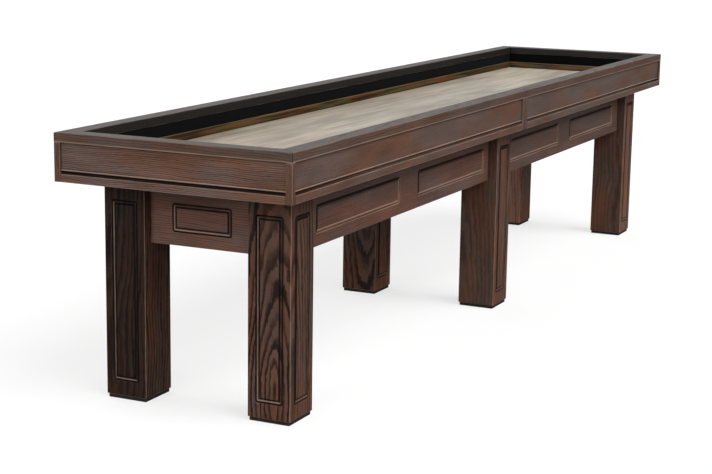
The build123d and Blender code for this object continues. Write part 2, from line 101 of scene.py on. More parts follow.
sky = bpy.data.worlds.new("studio_sky")
sky.use_nodes = True
sky_nodes, sky_links = sky.node_tree.nodes, sky.node_tree.links
direction = sky_nodes.new("ShaderNodeTexCoord")
height = sky_nodes.new("ShaderNodeSeparateXYZ")
sky_light = sky_nodes.new("ShaderNodeMapRange")
for socket, value in (("From Min", -0.25), ("From Max", 0.35), ("To Min", 0.10), ("To Max", 0.17)):
    sky_light.inputs[socket].default_value = value
sky_links.new(direction.outputs["Generated"], height.inputs[0])
sky_links.new(height.outputs["Z"], sky_light.inputs["Value"])
# The light is weak, yet the sky itself looks as pale as the floor from a low camera
looked_at = sky_nodes.new("ShaderNodeLightPath")
sky_seen = sky_nodes.new("ShaderNodeMix")
sky_seen.inputs["B"].default_value = 1
sky_links.new(looked_at.outputs["Is Camera Ray"], sky_seen.inputs["Factor"])
sky_links.new(sky_light.outputs[0], sky_seen.inputs["A"])
sky_links.new(sky_seen.outputs["Result"], sky_nodes["Background"].inputs["Strength"])
sky_nodes["Background"].inputs["Color"].default_value = (1, 1, 1, 1)
bpy.context.scene.world = sky

for lamp_name, strength, spread, towards in (
    ("front_high_lamp", 1.85, 50, (0, -0.64, 0.77)),
    ("front_low_lamp", 0.80, 50, (0, -0.95, 0.31)),
    ("corner_lamp", 0.75, 50, (-0.60, -0.60, 0.53)),
    ("end_lamp", 1.55, 50, (-0.95, 0, 0.31)),
    ("back_lamp", 0.85, 80, (0.62, 0.66, 0.43)),
    ("rear_lamp", 0.9, 80, (0.10, 0.94, 0.32)),
):
    lamp = bpy.data.lights.new(lamp_name, "SUN")
    lamp.energy = strength
    lamp.angle = math.radians(spread)
    lamp_object = bpy.data.objects.new(lamp_name, lamp)
    lamp_object.rotation_euler = Vector(towards).to_track_quat("Z", "Y").to_euler()
    bpy.context.scene.collection.objects.link(lamp_object)


# Legs: six square posts built up from oak boards, stained walnut. A moulded panel is cut into each
# outer face; its grooves are dark with stain and painted shade, and its beads carry painted highlights.
# Bolts come down into the legs through the gutter floor.

class Wire:
    """A number on its way between two shader nodes."""

    def __init__(self, finish, socket):
        self.finish, self.socket = finish, socket

    def maths(self, operation, *values):
        return self.finish.add("Math", {"operation": operation}, dict(enumerate(values)))

    __add__ = lambda self, other: self.maths("ADD", self, other)
    __radd__ = lambda self, other: self.maths("ADD", other, self)
    __sub__ = lambda self, other: self.maths("SUBTRACT", self, other)
    __rsub__ = lambda self, other: self.maths("SUBTRACT", other, self)
    __mul__ = lambda self, other: self.maths("MULTIPLY", self, other)
    __rmul__ = lambda self, other: self.maths("MULTIPLY", other, self)
    __truediv__ = lambda self, other: self.maths("DIVIDE", self, other)
    __pow__ = lambda self, other: self.maths("POWER", self, other)

    def limited(self):
        return self.finish.add("Clamp", {}, {0: self})

    def remainder(self):
        return self.maths("FRACT", self)

    def whole(self):
        return self.maths("FLOOR", self)


class Finish:
    """A surface finish: a material whose nodes are added one call at a time."""

    def __init__(self, name, **constants):
        self.material = bpy.data.materials.new(name)
        self.material.use_nodes = True
        self.tree = self.material.node_tree
        self.shader = self.tree.nodes["Principled BSDF"]
        for socket, value in constants.items():
            self.shader.inputs[socket.replace("_", " ")].default_value = value

    def add(self, kind, settings, sockets, output=0):
        node = self.tree.nodes.new("ShaderNode" + kind)
        for key, value in settings.items():
            if key == "stops":
                ramp = node.color_ramp
                while len(ramp.elements) < len(value):
                    ramp.elements.new(0.5)
                for element, (position, level) in zip(ramp.elements, value):
                    element.position = position
                    element.color = (level, level, level, 1)
            else:
                setattr(node, key, value)
        for key, value in sockets.items():
            self.feed(node.inputs[key], value)
        return Wire(self, node.outputs[output])

    def feed(self, socket, value):
        if isinstance(value, Wire):
            self.tree.links.new(value.socket, socket)
        else:
            socket.default_value = value

    def set(self, socket, value):
        self.feed(self.shader.inputs[socket], value)

    def stored(self, name):
        return self.add("Attribute", {"attribute_name": name}, {}, "Fac")

    def place(self, name):
        """The three coordinates of a stored place, or of the object's own space."""
        if name == "object":
            vector = self.add("TexCoord", {}, {}, "Object")
        else:
            vector = self.add("Attribute", {"attribute_name": name}, {}, "Vector")
        split = self.add("SeparateXYZ", {}, {0: vector})
        return [Wire(self, output) for output in split.socket.node.outputs]

    def noise(self, x, y=0, z=0, detail=2, roughness=0.5):
        spot = self.add("CombineXYZ", {}, {0: x, 1: y, 2: z})
        return self.add("TexNoise", {}, {
            "Vector": spot, "Scale": 1, "Detail": detail, "Roughness": roughness})

    def ramp(self, factor, *stops):
        return self.add("ValToRGB", {"stops": stops}, {0: factor})

    def mix(self, factor, one, other):
        colours = [c if isinstance(c, Wire) else (*c, 1) for c in (one, other)]
        return self.add("Mix", {"data_type": "RGBA"}, {0: factor, 6: colours[0], 7: colours[1]}, 2)

    def shade(self, colour, level):
        """A colour made lighter or darker by a number near 1."""
        return self.add("VectorMath", {"operation": "SCALE"}, {0: colour, "Scale": level})

    def bump(self, height, depth, strength):
        self.set("Normal", self.add("Bump", {}, {"Height": height, "Distance": depth, "Strength": strength}, "Normal"))


class Workpiece:
    """A piece being shaped: points with their wear and painted highlight, and their glaze and painted shade, and faces
    with the board they are on.
    """

    def __init__(self):
        self.points, self.wear, self.glaze = [], [], []
        self.faces, self.boards = [], []

    def point(self, place, wear=0, glaze=0):
        self.points.append(Vector(place))
        self.wear.append(wear)
        self.glaze.append(glaze)
        return len(self.points) - 1

    def face(self, corners, board=0):
        self.faces.append(corners)
        self.boards.append(board)

    def band(self, one, other, board=0):
        """A closed row of faces between two loops of points."""
        for i in range(len(one)):
            j = (i + 1) % len(one)
            self.face((one[i], one[j], other[j], other[i]), board)

    def fan(self, corners, loop, board=0):
        """Faces between four corners and a loop of points that goes round the same way."""
        quarter = len(loop) // 4
        for k in range(4):
            arc = [loop[(k * quarter + i) % len(loop)] for i in range(quarter)]
            for i in range(quarter - 1):
                self.face((corners[k], arc[i + 1], arc[i]), board)
            start = loop[(k + 1) * quarter % len(loop)]
            self.face((corners[k], corners[(k + 1) % 4], start, arc[-1]), board)

    def made(self, name, material, boards=None):
        """The finished object. boards are what its faces are cut from."""
        mesh = bpy.data.meshes.new(name)
        mesh.from_pydata(self.points, [], self.faces)
        shell = bmesh.new()
        shell.from_mesh(mesh)
        bmesh.ops.recalc_face_normals(shell, faces=shell.faces)
        shell.to_mesh(mesh)
        shell.free()
        for label, values in (("wear", self.wear), ("glaze", self.glaze)):
            mesh.attributes.new(label, "FLOAT", "POINT").data.foreach_set("value", values)
        if boards:
            run, stain = [], []
            for polygon, number in zip(mesh.polygons, self.boards):
                board = boards[number % len(boards)]
                for vertex in polygon.vertices:
                    run.extend(board.grain(self.points[vertex]))
                    stain.extend(board.stain)
            mesh.attributes.new("grain", "FLOAT_VECTOR", "CORNER").data.foreach_set("vector", run)
            mesh.attributes.new("stain", "FLOAT_VECTOR", "CORNER").data.foreach_set("vector", stain)
        mesh.shade_smooth()
        mesh.materials.append(material)
        piece = bpy.data.objects.new(name, mesh)
        bpy.context.scene.collection.objects.link(piece)
        return piece


def fit(piece, body, nodes, slot):
    """A finished piece takes the place of its CAD nodes."""
    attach(piece, body)
    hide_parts(*nodes)


class Board:
    """A sawn board: how its grain runs, and how light, how figured and how grey it is coloured. The grey is a painted
    sheen, and the low lightness of a cap's inner face is painted shade.

    Grain runs along the board, across it, and down from its face to the tree's heart. A heart well aside
    of the board gives straight grain, and one under its middle gives arches."""

    def __init__(self, face, along, across, outward, seed, lean=(0.05, 0.09), heart=(0.03, 0.06),
                 aside=(0, 0.02), stain=(1, 1, 0)):
        dice = random.Random(seed)
        self.slope = dice.uniform(*lean) * dice.choice((-1, 1))
        self.start, self.depth = dice.uniform(2, 40), dice.uniform(*heart)
        self.off_centre = dice.uniform(*aside) * dice.choice((-1, 1))
        self.face, self.along, self.across, self.outward = map(Vector, (face, along, across, outward))
        self.stain = stain

    def grain(self, place):
        local = Vector(place) - self.face
        run = local.dot(self.along)
        return (run + self.start, local.dot(self.across) + self.off_centre,
                self.depth + self.slope * run - local.dot(self.outward))


# A grey mixed into the stained oak as a painted sheen, the pale sky reflected in the finish.
PAINTED_SHEEN_GREY = (0.052, 0.048, 0.043)


def stained_oak(name, light, warm, dark, worn_and_highlit, ring, waviness, depth_of_stain, wander=1):
    """Open-grained oak under a dark stain, with stain left in its grooves and painted shade there, stain rubbed off
    its edges and painted highlights on them, and a grey painted sheen.
    """
    oak = Finish(name, Coat_Weight=0.04, Coat_Roughness=0.3, Specular_IOR_Level=0.16)
    run, side, deep = oak.place("grain")
    tone, figured, painted_sheen_share = oak.place("stain")
    sway = oak.noise(run * 2.7, 31, detail=1)
    drift = oak.noise(run * 1.6, 7, detail=1)
    wavy = oak.noise(run * 11, side * 38, deep * 38, detail=3, roughness=0.65)
    side_now = side + (sway - 0.5) * 0.055 * wander
    deep_now = deep + (drift - 0.5) * 0.075 * wander
    ragged = oak.noise(run * 38, side * 130, deep * 130, detail=2)
    radius = ((side_now * side_now + deep_now * deep_now) ** 0.5
              + (wavy - 0.5) * waviness + (ragged - 0.5) * 0.34 * ring)
    year = radius / ring
    late_wood = oak.ramp(
        year.remainder(), (0, 0.75), (0.1, 1), (0.32, 0.7), (0.52, 0.12), (0.9, 0), (1, 0.75))
    vigour = oak.noise(year * 0.9, run * 2.5, detail=1)
    fibre = oak.noise(run * 14, side * 420, deep * 420, detail=2, roughness=0.6)
    pore = oak.noise(run * 55, side * 1500, deep * 1500, detail=1)
    pores = oak.ramp(pore, (0, 0), (0.56, 0), (0.66, 1))
    patch = oak.noise(run * 3.1, side * 11, deep * 11, detail=2)
    cloud = oak.noise(run * 4.7 + 9, side * 19, deep * 19, detail=2)
    figure = (late_wood * (vigour * 2.4 - 0.2) * figured * depth_of_stain).limited()
    warmth = oak.ramp(patch, (0.40, 0), (0.60, 1))
    wood = oak.mix(warmth, light, warm)
    wood = oak.shade(wood, (0.55 + cloud * 0.9) * (0.62 + fibre * 0.76))
    wood = oak.mix(figure * 0.92, wood, dark)
    wood = oak.mix(pores * 0.45 * (0.4 + figure), wood, dark)
    # Part of the colour turns to the painted sheen grey; then the tone scales its lightness.
    wood = oak.shade(oak.mix(painted_sheen_share, wood, oak.shade(PAINTED_SHEEN_GREY, 0.6 + fibre * 0.8)), tone)
    # Edges and beads are lightened towards the worn colour, partly as stain rubbed off and partly as painted
    # highlight.
    rubbed_and_highlit = ((oak.stored("wear") * 1.5 + (fibre - 0.5) * 1.1 + (cloud - 0.5) * 0.9) - 0.45).limited()
    wood = oak.mix(rubbed_and_highlit * 0.7, wood, worn_and_highlit)
    # Grooves go nearly black, partly as stain left in them and partly as painted shade.
    glazed_and_shaded = (oak.stored("glaze") * (1.15 - fibre * 0.3)).limited()
    wood = oak.mix(glazed_and_shaded * 0.97, wood, (0.0030, 0.0016, 0.0012))
    oak.set("Base Color", wood)
    oak.set("Roughness", 0.42 + figure * 0.16 + (fibre - 0.5) * 0.16 + glazed_and_shaded * 0.2 - rubbed_and_highlit * 0.06)
    oak.bump(fibre * 0.35 - figure * 0.5 - pores * 0.8, 0.00035, 0.55)
    return oak.material


def stops(low, high, ease, splits=()):
    """Where a rounded block is divided along one edge: closer together at its rounded ends."""
    flat = min(3 * MM, (high - low) / 2 - ease * 1.4)
    return ([low, low + 0.35 * ease, low + ease, low + ease + flat] + list(splits)
            + [high - ease - flat, high - ease, high - 0.35 * ease, high])


AXES = ((1, 2), (2, 0), (0, 1))


def rounded_block(work, low, high, ease, inlays=None, splits=(), first_board=0):
    """A block with rounded edges. inlays maps (axis, end) to what fills the middle of that side."""
    cuts = [stops(low[a], high[a], ease, splits if a == 0 else ()) for a in range(3)]
    core = [(low[a] + ease, high[a] - ease) for a in range(3)]
    known = {}

    def corner(index):
        if index not in known:
            flat = Vector([cuts[a][index[a]] for a in range(3)])
            near = Vector([min(max(flat[a], core[a][0]), core[a][1]) for a in range(3)])
            out = flat - near
            place = near + out.normalized() * ease if out.length > 1e-9 else flat
            ends = [min(index[a], len(cuts[a]) - 1 - index[a]) for a in range(3)]
            rounded = sum(end < 2 for end in ends)
            # Rounded edges get lightening that is partly wear and partly painted highlight.
            rubbed_and_highlit = 0.8 if rounded > 1 else 0.15 if sum(end < 3 for end in ends) > 1 else 0
            known[index] = work.point(place, rubbed_and_highlit)
        return known[index]

    for axis in range(3):
        one, other = AXES[axis]
        for end in (0, 1):
            level = end * (len(cuts[axis]) - 1)
            board = first_board + 2 * axis + end
            for i in range(len(cuts[one]) - 1):
                for j in range(len(cuts[other]) - 1):
                    spots = []
                    for di, dj in ((0, 0), (1, 0), (1, 1), (0, 1)):
                        index = [0, 0, 0]
                        index[axis], index[one], index[other] = level, i + di, j + dj
                        spots.append(corner(tuple(index)))
                    middle = 3 <= i < len(cuts[one]) - 4 and 3 <= j < len(cuts[other]) - 4
                    if inlays and middle and (axis, end) in inlays:
                        inlays[(axis, end)](work, spots, board)
                    else:
                        work.face(spots, board)


def ring_of(work, spot, half_wide, half_high, radius, depth, wear, glaze, sides, shade_flooded, steps=5):
    """A loop of points round a rectangle with rounded corners. spot turns a place on the face into a
    point, and sides says how the wear and painted highlight and the glaze and painted shade differ on
    the left, bottom, right and top."""
    loop = []
    for k, (sx, sy) in enumerate(((-1, -1), (1, -1), (1, 1), (-1, 1))):
        for i in range(steps):
            share = i / (steps - 1)
            angle = math.pi + (k + share) * math.pi / 2
            across = sx * (half_wide - radius) + radius * math.cos(angle)
            up = sy * (half_high - radius) + radius * math.sin(angle)
            # Per side: lightening that is wear and painted highlight, glaze that is stain and painted shade, and
            # painted shade flooded over the beads.
            rubbed_and_highlit, glaze_and_shade_share, shade_flood = (
                one + (two - one) * share for one, two in zip(sides[k], sides[(k + 1) % 4]))
            stain = min(1, glaze * glaze_and_shade_share + shade_flooded * shade_flood)
            loop.append(work.point(spot(across, up, depth), wear * rubbed_and_highlit, stain))
    return loop


# Inwards from a panel's edge and down from its face, in millimetres, with the wear and painted highlight, and the
# glaze and painted shade there
LEG_MOULDING = (
    (-4, 0, 0, 0), (-1.2, 0, 0.1, 0), (-0.2, 0.1, 0.5, 0), (0.3, 0.6, 0.2, 0.6),
    (0.9, 2, 0, 1), (1.8, 3, 0, 1), (3.4, 3.1, 0, 1), (4.4, 2.5, 0, 1),
    (5.1, 1.6, 0.1, 0.3), (6, 1, 0.6, 0), (7.2, 0.5, 0.9, 0), (8.3, 0.35, 0.9, 0),
    (9.5, 0.5, 0.8, 0), (10.5, 1.1, 0.4, 0), (11.4, 2, 0, 0.6), (12.2, 2.8, 0, 1),
    (13.6, 3.1, 0, 1), (14.7, 2.7, 0, 1), (15.4, 1.4, 0, 0.9), (16, 0.7, 0.4, 0.2),
    (17.2, 0.45, 0.1, 0), (20.5, 0.45, 0, 0),
)
APRON_MOULDING = (
    (-4, 0, 0, 0), (-1.3, 0, 0.2, 0), (-0.2, 0.1, 0.9, 0), (0.4, 0.6, 0.4, 0.5),
    (1, 1.9, 0, 1), (1.9, 2.6, 0, 1), (3.4, 2.8, 0, 1), (4.8, 2.5, 0.3, 1),
    (6.2, 1.8, 0.8, 1), (8, 1.3, 1, 0.9), (9.6, 1.2, 0.9, 0.3), (11, 1.4, 0.3, 0),
    (12.3, 2, 0, 0.2), (13.4, 2.1, 0, 0.2), (15.4, 1.8, 0, 0), (20.5, 1.8, 0, 0),
)
# On a moulding's left, bottom, right and top: the share of the wear and painted highlight, the share of the
# glaze and painted shade, and how far painted shade floods over its beads as well. Sides facing the lamps
# get painted highlights, and sides facing away get painted shade.
END_FACE_SIDES = ((0.9, 1, 0.3), (1, 1, 0.15), (0.2, 1, 0.5), (0.35, 1, 0.45))
LEG_SIDE_SIDES = ((0.2, 1, 0.95), (0.6, 0.8, 0.1), (0.6, 0.8, 0.35), (0.1, 1, 0.8))
APRON_SIDE_SIDES = ((0.2, 1, 0.95), (1.3, 0.25, 0), (1.3, 0.25, 0), (0.1, 1, 0.35))
# How round a panel's corners are, between which insets painted shade may flood, and how many sides a hole has
PANEL_CORNER, FIRST_BEAD, LAST_GROOVE, HOLE_SIDES = 9, 0.5, 15.2, 40


def filled(work, corners, centre, across, up, loops, board):
    """A face's middle filled with faces from its corners in through one loop after another."""
    turn = sorted(corners, key=lambda c: math.atan2(
        (work.points[c] - centre).dot(up), (work.points[c] - centre).dot(across)))
    work.fan(turn, loops[0], board)
    for one, other in zip(loops, loops[1:]):
        work.band(one, other, board)
    work.face(loops[-1], board)


def moulded_panel(centre, across, up, outward, wide, high, moulding, sides):
    """The filling of a face's middle with a moulded panel."""
    def spot(x, y, depth):
        return centre + across * x + up * y - outward * depth

    def fill(work, corners, board):
        loops = [ring_of(work, spot, wide / 2 - inset * MM, high / 2 - inset * MM, max(PANEL_CORNER - inset, 0.5) * MM,
                         depth * MM, wear, glaze, sides, FIRST_BEAD < inset < LAST_GROOVE)
                 for inset, depth, wear, glaze in moulding]
        filled(work, corners, centre, across, up, loops, board)

    return fill


def round_recess(centre, across, up, outward, steps):
    """The filling of a face's middle with a stepped round hole, given as radii and depths in millimetres."""
    def fill(work, corners, board):
        loops = []
        for radius, depth in steps:
            angles = [math.pi + (i - 0.5) * math.tau / HOLE_SIDES for i in range(HOLE_SIDES)]
            loops.append([work.point(
                centre + (across * math.cos(a) + up * math.sin(a)) * radius * MM - outward * depth * MM,
                0.2, 0.6 if depth else 0) for a in angles])
        filled(work, corners, centre, across, up, loops, board)

    return fill


leg_oak = stained_oak(
    "leg_oak_walnut_stain", light=(0.132, 0.074, 0.055), warm=(0.168, 0.066, 0.035),
    dark=(0.010, 0.004, 0.0025), worn_and_highlit=(0.46, 0.31, 0.23), ring=0.0145, waviness=0.018, depth_of_stain=1)
LEG_SEED = 103
# How light, how figured and how grey each leg's end face and side face toward the near corner are made,
# with the grey a painted sheen, and whether the grain of both its end faces is arched. Its far faces are all made
# alike.
LEG_BOARDS = {
    "front_left": ((0.86, 1, 0), (0.95, 0.8, 0.1), True),
    "front_middle": ((0.9, 0.45, 0.15), (1.1, 0.6, 0.1), False),
    "front_right": ((0.85, 0.45, 0.1), (1.45, 0.6, 0.15), False),
    "rear_left": ((0.24, 0.8, 0), (0.68, 0.9, 0), False),
    "rear_middle": ((0.62, 0.8, 0), (1.1, 0.8, 0), True),
    "rear_right": ((2.1, 0.6, 0.25), (1.3, 0.7, 0.1), False),
}
FAR_FACES = (1, 0.8, 0.1)
LEG_PANEL_WIDTH, LEG_PANEL_BOTTOM, PANEL_TOP = 92 * MM, 57 * MM, 614 * MM
LEG_HOLE = ((15, 0), (15, 10), (10, 10), (10, 38), (7, 38), (7, 60))
UP, ALONG, INWARD = Vector((0, 0, 1)), Vector((1, 0, 0)), Vector((0, 1, 0))
LEGS = [side + "_" + place for side in ("front", "rear") for place in ("left", "middle", "right")]
for number, leg in enumerate(LEGS):
    low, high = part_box("leg_" + leg)
    middle = (low + high) / 2
    inlays = {}
    if leg.endswith("middle"):
        moulded = [(1, 0), (1, 1)]
    else:
        moulded = [(0, int(middle.x > 0)), (1, int(middle.y > 0))]
    for axis, end in moulded:
        outward = (ALONG, INWARD)[axis] * (2 * end - 1)
        across = UP.cross(outward)
        centre = middle.copy()
        centre[axis] = (low, high)[end][axis]
        centre.z = (LEG_PANEL_BOTTOM + PANEL_TOP) / 2
        inlays[(axis, end)] = moulded_panel(
            centre, across, UP, outward, LEG_PANEL_WIDTH, PANEL_TOP - LEG_PANEL_BOTTOM, LEG_MOULDING,
            (END_FACE_SIDES, LEG_SIDE_SIDES)[axis])
    bottom = Vector((middle.x, middle.y, low.z))
    inlays[(2, 0)] = round_recess(bottom, ALONG, INWARD, -UP, LEG_HOLE)
    grains = []
    for axis in range(3):
        for end in (0, 1):
            outward = (ALONG, INWARD, UP)[axis] * (2 * end - 1)
            centre = middle + outward * (high - low)[axis] / 2
            if axis == 2:
                grains.append(Board(centre, ALONG * 0.1, ALONG, INWARD, 7 * number + end))
            else:
                arched = axis == 0 and LEG_BOARDS[leg][2]
                grains.append(Board(
                    centre, UP, UP.cross(outward), outward, LEG_SEED + 7 * number + 2 * axis + end,
                    lean=(0.12, 0.16) if arched else (0.03, 0.06),
                    aside=(0.012, 0.03) if arched else (0.05, 0.09),
                    stain=LEG_BOARDS[leg][axis] if end == 0 else FAR_FACES))
    work = Workpiece()
    rounded_block(work, low, high, 1.6 * MM, inlays)
    fit(work.made("oak_leg_" + leg, leg_oak, grains), "table", ["leg_" + leg], "leg_oak")


# Feet: a hard rubber pad snapped on the flange of a threaded stud. Turning the stud's hexagonal
# collar with a spanner screws it in or out of the brass insert in the leg.

def turned(work, profile, centre, axis=UP, sides=48, bored=False):
    """A turned piece: radii, heights in millimetres, widths across flats where it is a hexagon, and wear and painted
    highlight.
    """
    across, up = ALONG, axis.cross(ALONG)
    first = last = None
    for radius, height, flats, wear in profile:
        loop = []
        for i in range(sides):
            angle = (i + 0.5) * math.tau / sides
            reach = radius
            if flats:
                reach = min(radius, flats / 2 / math.cos((angle + math.pi / 6) % (math.pi / 3) - math.pi / 6))
            place = centre + (across * math.cos(angle) + up * math.sin(angle)) * reach * MM
            loop.append(work.point(place + axis * height * MM, wear))
        if last:
            work.band(last, loop)
        first, last = first or loop, loop
    if bored:
        work.band(last, first)
    else:
        work.face(first)
        work.face(last)


rubber = Finish("hard_black_rubber", Specular_IOR_Level=0.35)
x, y, z = rubber.place("object")
grit = rubber.noise(x * 900, y * 900, z * 900)
scuff = rubber.noise(x * 60, y * 60, z * 160, detail=3)
scuffed = ((scuff - 0.52) * 5 + rubber.stored("wear") * 0.7).limited()
rubber.set("Base Color", rubber.mix(scuffed * 0.5, (0.012, 0.010, 0.009), (0.045, 0.038, 0.034)))
rubber.set("Roughness", 0.62 + grit * 0.2)
rubber.bump(grit, 0.0002, 0.5)

zinc = Finish("zinc_plated_steel", Metallic=1)
x, y, z = zinc.place("object")
spangle = zinc.noise(x * 240, y * 240, z * 240, detail=3)
turning = zinc.noise(x * 90, y * 90, z * 2600)
zinc_colour = zinc.mix(spangle, (0.42, 0.42, 0.40), (0.66, 0.65, 0.61))
zinc.set("Base Color", zinc.mix(zinc.stored("wear") * 0.5, zinc_colour, (0.75, 0.74, 0.71)))
zinc.set("Roughness", 0.24 + spangle * 0.22)
zinc.bump(turning + spangle * 0.5, 0.00006, 0.6)

brass = Finish("turned_brass", Metallic=1)
x, y, z = brass.place("object")
tarnish = brass.noise(x * 130, y * 130, z * 130, detail=4)
brass.set("Base Color", brass.mix(tarnish, (0.72, 0.50, 0.20), (0.42, 0.27, 0.11)))
brass.set("Roughness", 0.25 + tarnish * 0.25)
brass.bump(brass.noise(x * 80, y * 80, z * 3000), 0.00006, 0.6)

PAD_HOLE = ((12, 0), (12, 1.7), (15.5, 1.7), (15.5, 7.7))
STUD_FOOT = [
    (14, 4.3, 0, 0.3), (15, 5, 0, 1), (15, 8.4, 0, 1), (14.3, 9, 0, 0.3), (10, 9, 0, 0),
    (10, 12.3, 0, 0), (11.2, 12.3, 22, 0.3), (12.6, 13.1, 22, 1), (12.6, 17.5, 22, 1),
    (11.2, 18.3, 22, 0.3), (6, 18.3, 0, 0),
]


def thread(root, crest, start, pitch, turns, marks):
    """A thread's rings: their root and crest radii in turn, at four marks along each pitch."""
    return [(radius, start + turn * pitch + mark, 0, wear) for turn in range(turns)
            for radius, mark, wear in zip((root, root, crest, crest), marks, (0, 0, 0.8, 0.8))]


COLLAR_TOP, THREAD_PITCH, THREAD_TURNS = 18.3, 1.75, 27
stud_thread = thread(5.1, 5.95, COLLAR_TOP, THREAD_PITCH, THREAD_TURNS, (0.25, 0.45, 1, 1.2))
stud_thread += [(5.1, 65.7, 0, 0), (4.3, 66, 0, 0)]
for leg in LEGS:
    low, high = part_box("foot_pad_" + leg)
    top = Vector(((low.x + high.x) / 2, (low.y + high.y) / 2, high.z))
    work = Workpiece()
    rounded_block(work, low, high, 1.5 * MM, {(2, 1): round_recess(top, ALONG, INWARD, UP, PAD_HOLE)})
    fit(work.made("rubber_pad_" + leg, rubber.material), "foot_" + leg, ["foot_pad_" + leg], "foot_rubber")
    work = Workpiece()
    turned(work, STUD_FOOT + stud_thread, Vector((top.x, top.y, 0)), sides=36)
    fit(work.made("threaded_stud_" + leg, zinc.material), "stud_" + leg, ["foot_stud_" + leg], "zinc_steel")


def coat(node, finish):
    """A finish in the one slot of a CAD node that is shown as it is."""
    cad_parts[node].data.materials.clear()
    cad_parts[node].data.materials.append(finish.material)


coat("foot_inserts", brass)
coat("leg_plates", zinc)


# Aprons: oak boards set back between the legs, with two long moulded panels in each half of a side
# and one in each end. They are stained and glazed like the legs, with the same painted shade and painted highlights.

apron_oak = stained_oak(
    "apron_oak_walnut_stain", light=(0.145, 0.094, 0.078), warm=(0.168, 0.080, 0.056),
    dark=(0.034, 0.015, 0.010), worn_and_highlit=(0.58, 0.38, 0.28), ring=0.0072, waviness=0.010, depth_of_stain=0.45, wander=0.5)
SIDE_PANEL, END_PANEL, PANEL_HEIGHT = 600 * MM, 203 * MM, 88 * MM
SIDE_PANEL_MARGIN, SIDE_PANEL_GAP = 83 * MM, 146 * MM
HALVES = [(side, half) for side in ("front", "rear") for half in ("left", "right")]
for number, (side, half) in enumerate(HALVES):
    node = f"side_apron_{side}_{half}"
    low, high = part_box(node)
    middle = (low + high) / 2
    end = int(middle.y > 0)
    outward = INWARD * (2 * end - 1)
    face = (low, high)[end].y
    first = low.x + SIDE_PANEL_MARGIN + SIDE_PANEL / 2
    if middle.x > 0:
        first = high.x - SIDE_PANEL_MARGIN - SIDE_PANEL / 2
    step = math.copysign(SIDE_PANEL + SIDE_PANEL_GAP, -middle.x)
    level = PANEL_TOP - PANEL_HEIGHT / 2
    centres = sorted((Vector((first + k * step, face, level)) for k in (0, 1)), key=lambda c: c.x)
    fillings = [moulded_panel(c, UP.cross(outward), UP, outward, SIDE_PANEL, PANEL_HEIGHT, APRON_MOULDING,
                              APRON_SIDE_SIDES) for c in centres]
    split = (centres[0].x + centres[1].x) / 2

    def both_panels(work, corners, board, fillings=fillings, split=split):
        left = sum(work.points[c].x for c in corners) / 4 < split
        fillings[0 if left else 1](work, corners, board)

    work = Workpiece()
    rounded_block(work, low, high, 1.2 * MM, {(1, end): both_panels}, [split])
    # The halves right of the middle are lighter, and greyer with a painted sheen.
    grain = Board((middle.x, face, middle.z), ALONG, UP, outward, 200 + number, (0.004, 0.012), (0.02, 0.05),
                  (0.10, 0.14), (1.25, 1, 0.4) if middle.x > 0 else (1.12, 1, 0))
    fit(work.made("oak_" + node, apron_oak, [grain]), "table", [node], "apron_oak")

for number, node in enumerate(["end_apron_left", "end_apron_right"]):
    low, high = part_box(node)
    middle = (low + high) / 2
    outward = ALONG * (2 * number - 1)
    centre = Vector(((low, high)[number].x, 0, PANEL_TOP - PANEL_HEIGHT / 2))
    work = Workpiece()
    rounded_block(work, low, high, 1.2 * MM, {
        (0, number): moulded_panel(centre, UP.cross(outward), UP, outward, END_PANEL, PANEL_HEIGHT, LEG_MOULDING,
                                    END_FACE_SIDES)})
    grain = Board((centre.x, 0, middle.z), INWARD, UP, outward, 210 + number, (0.01, 0.03), (0.02, 0.05),
                  (0.10, 0.14), (1.15, 1, 0.1))
    fit(work.made("oak_" + node, apron_oak, [grain]), "table", [node], "apron_oak")


# Underframe: planed softwood timbers between the aprons and along the playfield. They are screwed
# together out of sight and left bare.

timber = Finish("planed_softwood", Specular_IOR_Level=0.3)
run, side, deep = timber.place("grain")
sway = timber.noise(run * 1.2, 5)
radius = ((side + (sway - 0.5) * 0.05) ** 2 + (deep + (sway - 0.5) * 0.03) ** 2) ** 0.5
late = timber.ramp((radius * 190).remainder(), (0, 0), (0.75, 0.9), (0.95, 1), (1, 0))
fleck = timber.noise(run * 20, side * 500, deep * 500)
knot = timber.noise(run * 3.1, side * 12, deep * 12, detail=0)
knot = timber.ramp(knot, (0, 0), (0.7, 0), (0.78, 1))
bare = timber.mix(late * 0.55, (0.56, 0.41, 0.24), (0.36, 0.21, 0.10))
bare = timber.mix(knot * 0.8, bare, (0.16, 0.075, 0.03))
bare = timber.mix(timber.stored("wear") * 0.35, bare, (0.66, 0.52, 0.33))
timber.set("Base Color", timber.shade(bare, 0.85 + fleck * 0.3))
timber.set("Roughness", 0.6 + fleck * 0.15)
timber.bump(fleck - late * 0.4, 0.0003, 0.4)


def boards(node, name, boxes, material, slot, ease, seed, lean=(0.01, 0.03), heart=(0.02, 0.09),
           aside=(0, 0.05), stain=(1, 1, 0)):
    """A group of like boards, given by their corners, with the grain along each."""
    work, grains = Workpiece(), []
    for number, corners in enumerate(boxes):
        low, high = Vector(map(min, *corners)), Vector(map(max, *corners))
        size = high - low
        order = sorted(range(3), key=lambda a: -size[a])
        directions = [(ALONG, INWARD, UP)[a] for a in order]
        grains += [Board((low + high) / 2, *directions, seed + number, lean, heart, aside, stain)] * 6
        rounded_block(work, low, high, ease, first_board=6 * number)
    fit(work.made(name, material, grains), "table", [node], slot)


def mirrored(*boxes, ways=((1, 1), (-1, 1), (1, -1), (-1, -1))):
    """Boxes and their mirror images across the middle of the table."""
    return [[(x * sx, y * sy, z) for x, y, z in box] for box in boxes for sx, sy in ways]


